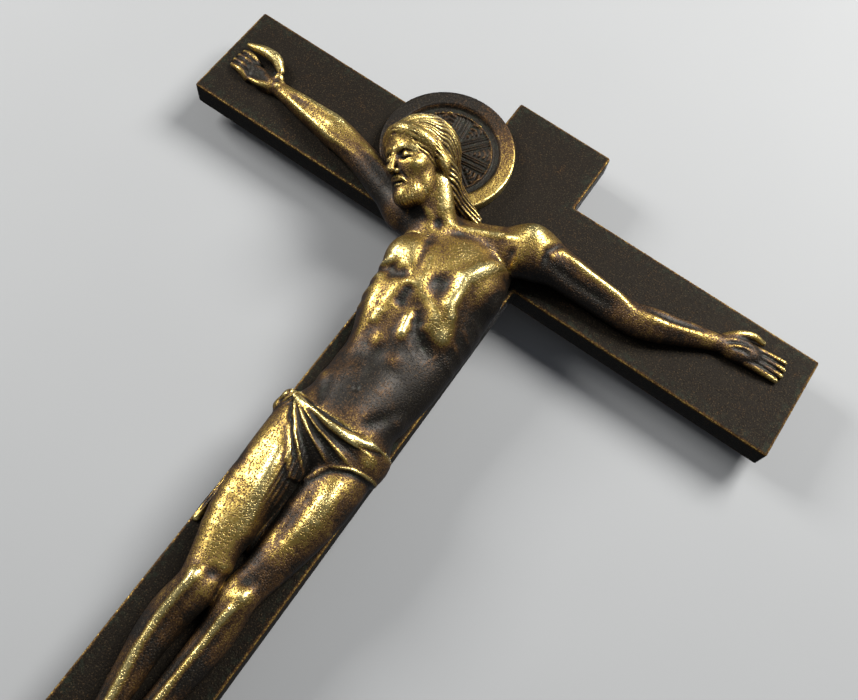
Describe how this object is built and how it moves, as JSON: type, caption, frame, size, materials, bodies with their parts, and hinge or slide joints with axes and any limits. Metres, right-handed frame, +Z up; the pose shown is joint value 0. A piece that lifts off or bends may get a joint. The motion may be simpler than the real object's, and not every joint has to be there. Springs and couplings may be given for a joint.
{
  "type": "crucifix",
  "caption": "Hand-sized cast bronze crucifix: a plain flat cross with a relief corpus and nimbus, screwed from behind, with a hanging ring on its back.",
  "frame": {"origin": "centre of the squared foot end of the shaft", "axes": "+Z up the shaft, +X along the crossbar to the viewer's right, the figure faces -Y"},
  "size_m": [0.1516, 0.0283, 0.228],
  "materials": {
    "patinated_bronze": "dark brown-black patinated cast bronze with fine sand-cast grain and edges worn to gold",
    "rubbed_bronze": "cast bronze, high places rubbed to gold, hollows nearly black",
    "nimbus_bronze": "cast bronze, rim rubbed to gold, field dark with green in its grooves",
    "turned_brass": "tarnished turned brass",
    "felt": "dark green pressed felt"
  },
  "bodies": {
    "cross": {"cross_plate": "patinated_bronze", "corpus": "rubbed_bronze", "nimbus": "nimbus_bronze", "footrest": "patinated_bronze", "corpus_screw_left_hand": "turned_brass", "corpus_screw_right_hand": "turned_brass", "corpus_screw_chest": "turned_brass", "corpus_screw_hips": "turned_brass", "corpus_screw_ankles": "turned_brass", "nimbus_screw_centre": "turned_brass", "nimbus_screw_side": "turned_brass", "footrest_screw_left": "turned_brass", "footrest_screw_right": "turned_brass", "hanger_strap": "turned_brass", "hanger_screw_upper": "turned_brass", "hanger_screw_lower": "turned_brass", "arm_pad_left": "felt", "arm_pad_right": "felt", "foot_pad": "felt"},
    "ring": {"hanger_ring": "turned_brass"}
  },
  "joints": [
    {"name": "ring_swing", "type": "hinge", "parent": "cross", "child": "ring", "pos_m": [0, 0.00565, 0.2156], "axis": [1, 0, 0], "range_deg": [0, 178]}
  ]
}
